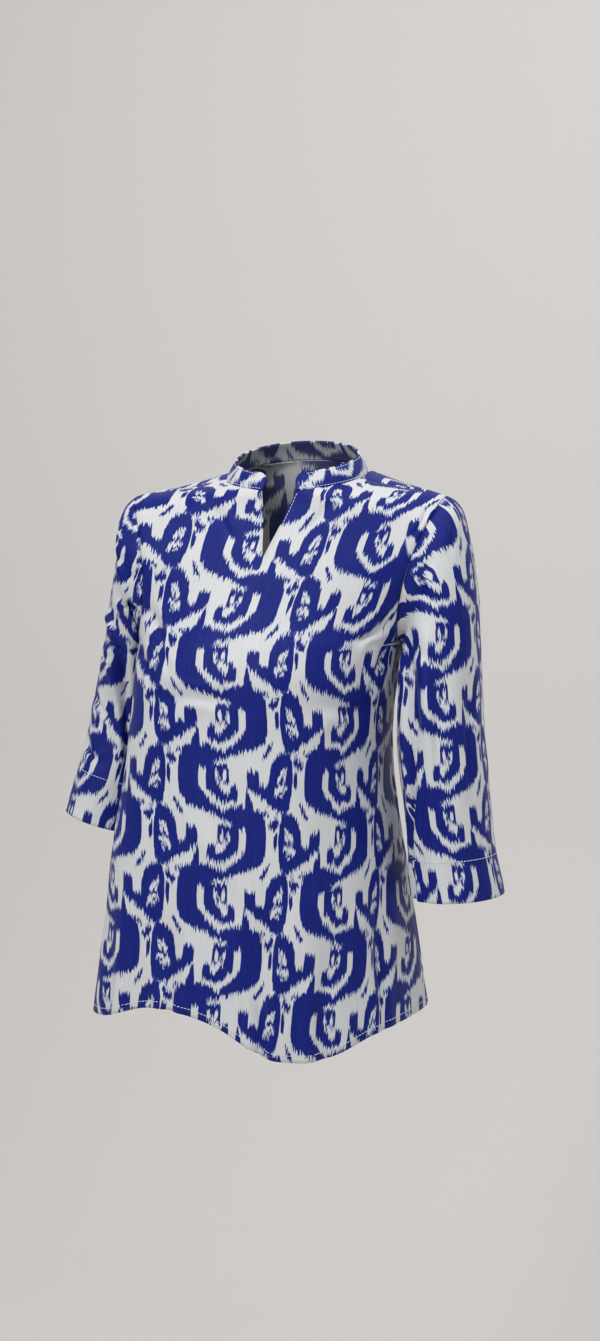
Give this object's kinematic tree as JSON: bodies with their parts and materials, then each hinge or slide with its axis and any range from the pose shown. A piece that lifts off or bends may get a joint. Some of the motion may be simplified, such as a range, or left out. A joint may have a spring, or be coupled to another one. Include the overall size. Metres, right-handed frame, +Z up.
{
  "type": "tunic top",
  "caption": "Hollow worn tunic top with a band collar, an open neck notch, three-quarter sleeves and a flared, curved hem, in figured blue and ivory cloth.",
  "frame": {"origin": "between the wearer's shoulders at the base of the neck, level with the inner ends of the shoulder seams, where the garment hangs from its wearer", "axes": "+Z up from the hem to the collar, -Y out of the front, +X towards the wearer's left sleeve"},
  "size_m": [0.5306, 0.2767, 0.6626],
  "materials": {
    "figured_cloth": "smooth crepe, royal blue figures on ivory",
    "collar_cloth": "smooth crepe, two layers",
    "stitch_thread": "white sewing thread"
  },
  "bodies": {
    "root": {"front": "figured_cloth", "back": "figured_cloth", "sleeve_left": "figured_cloth", "sleeve_right": "figured_cloth", "collar": "collar_cloth"}
  },
  "joints": []
}
